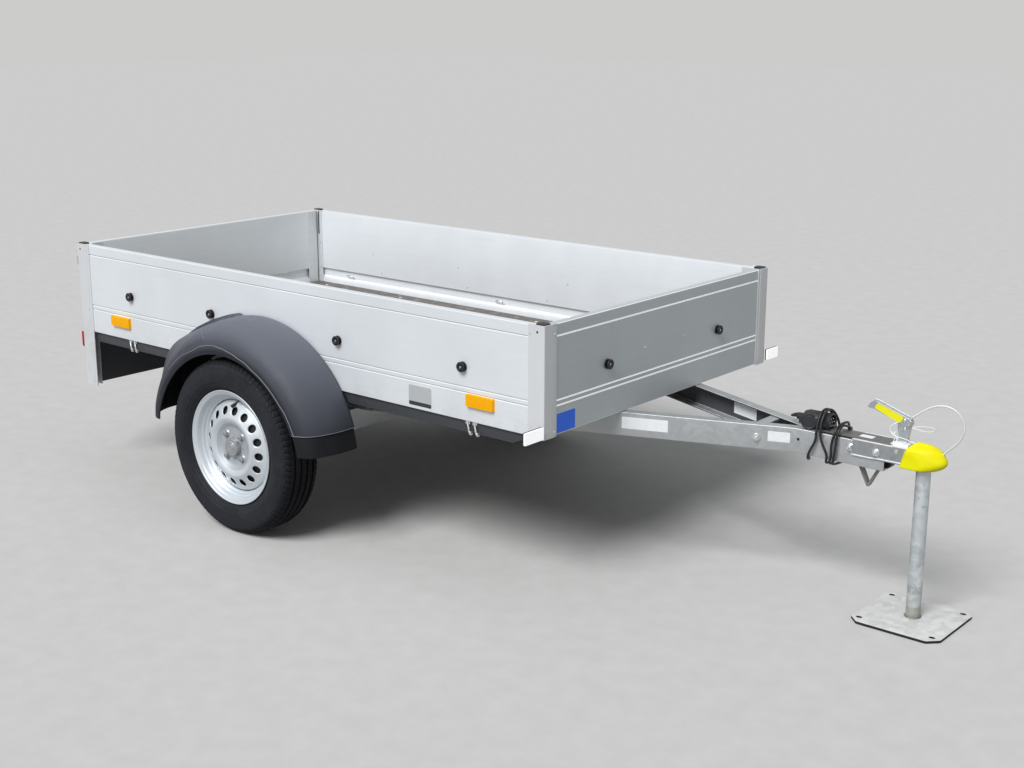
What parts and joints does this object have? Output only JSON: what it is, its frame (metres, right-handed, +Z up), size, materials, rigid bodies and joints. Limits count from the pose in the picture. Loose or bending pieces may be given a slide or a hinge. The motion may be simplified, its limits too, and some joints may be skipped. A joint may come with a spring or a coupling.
{
  "type": "utility trailer",
  "caption": "Open flat-bed utility trailer with upright aluminium walls, drop tailgate, galvanised V drawbar, ball coupling and moulded mudguards, parked on a coupling stand",
  "frame": {"origin": "on the ground under the middle of the overall length and width", "axes": "+X forward along the drawbar, +Y to the left of travel, +Z up"},
  "size_m": [3.08, 1.5338, 0.795],
  "materials": {
    "wall_aluminium": "rolled aluminium sheet, satin",
    "floor_sheet": "film-faced plywood, dark brown, fine mesh print",
    "post_aluminium": "mill-finish aluminium section",
    "galvanised_steel": "hot-dip galvanised, fine spangle",
    "zinc_steel": "bright zinc plate",
    "rim_paint": "silver paint, smooth",
    "tyre_rubber": "road tyre rubber, matte",
    "guard_plastic": "moulded charcoal plastic, fine grain",
    "black_plastic": "moulded black plastic",
    "yellow_rubber": "soft yellow rubber",
    "red_lens": "red lamp lens",
    "amber_lens": "amber reflector lens",
    "clear_lens": "clear reflector lens over a white back",
    "black_cable": "black cable jacket",
    "white_cable": "white coated wire rope"
  },
  "bodies": {
    "chassis": {"side_wall_right": "wall_aluminium", "side_wall_left": "wall_aluminium", "front_wall": "wall_aluminium", "floor_panel": "floor_sheet", "post_rear_right": "post_aluminium", "post_rear_left": "post_aluminium", "post_front_right": "post_aluminium", "post_front_left": "post_aluminium", "post_caps": "black_plastic", "corner_trims": "post_aluminium", "side_rail_right": "galvanised_steel", "side_rail_left": "galvanised_steel", "cross_members": "galvanised_steel", "drawbar_right": "galvanised_steel", "drawbar_left": "galvanised_steel", "drawbar_brace": "galvanised_steel", "drawbar_end_cap": "black_plastic", "drawbar_foot": "zinc_steel", "coupling_head": "zinc_steel", "coupling_handle": "zinc_steel", "soft_dock": "yellow_rubber", "stand_tube": "galvanised_steel", "stand_plate": "galvanised_steel", "axle_beam": "galvanised_steel", "axle_brackets": "galvanised_steel", "swing_arm_right": "galvanised_steel", "swing_arm_left": "galvanised_steel", "mudguard_right": "guard_plastic", "mudguard_left": "guard_plastic", "mudguard_stays": "galvanised_steel", "lamp_panel": "post_aluminium", "tail_lamp_right": "red_lens", "tail_lamp_left": "red_lens", "side_markers": "amber_lens", "front_reflectors": "clear_lens", "reflector_arms": "black_plastic", "cover_buttons": "black_plastic", "gate_fittings": "zinc_steel", "lashing_hooks": "zinc_steel", "junction_box": "black_plastic", "plug": "black_plastic", "lighting_lead": "black_cable", "safety_cable": "white_cable"},
    "wheel_right": {"rim_right": "rim_paint", "hub_right": "zinc_steel", "tyre_right": "tyre_rubber"},
    "wheel_left": {"rim_left": "rim_paint", "hub_left": "zinc_steel", "tyre_left": "tyre_rubber"},
    "tailgate": {"tailgate_panel": "wall_aluminium", "tailgate_buttons": "black_plastic", "tailgate_hinges": "zinc_steel", "tailgate_latches": "zinc_steel"}
  },
  "joints": [
    {"name": "wheel_right_spin", "type": "hinge", "parent": "chassis", "child": "wheel_right", "pos_m": [-0.516, -0.694, 0.279], "axis": [0, 1, 0], "continuous": true},
    {"name": "wheel_left_spin", "type": "hinge", "parent": "chassis", "child": "wheel_left", "pos_m": [-0.516, 0.694, 0.279], "axis": [0, 1, 0], "continuous": true},
    {"name": "tailgate_hinge", "type": "hinge", "parent": "chassis", "child": "tailgate", "pos_m": [-1.533, 0, 0.486], "axis": [0, -1, 0], "range_deg": [0, 180]}
  ]
}
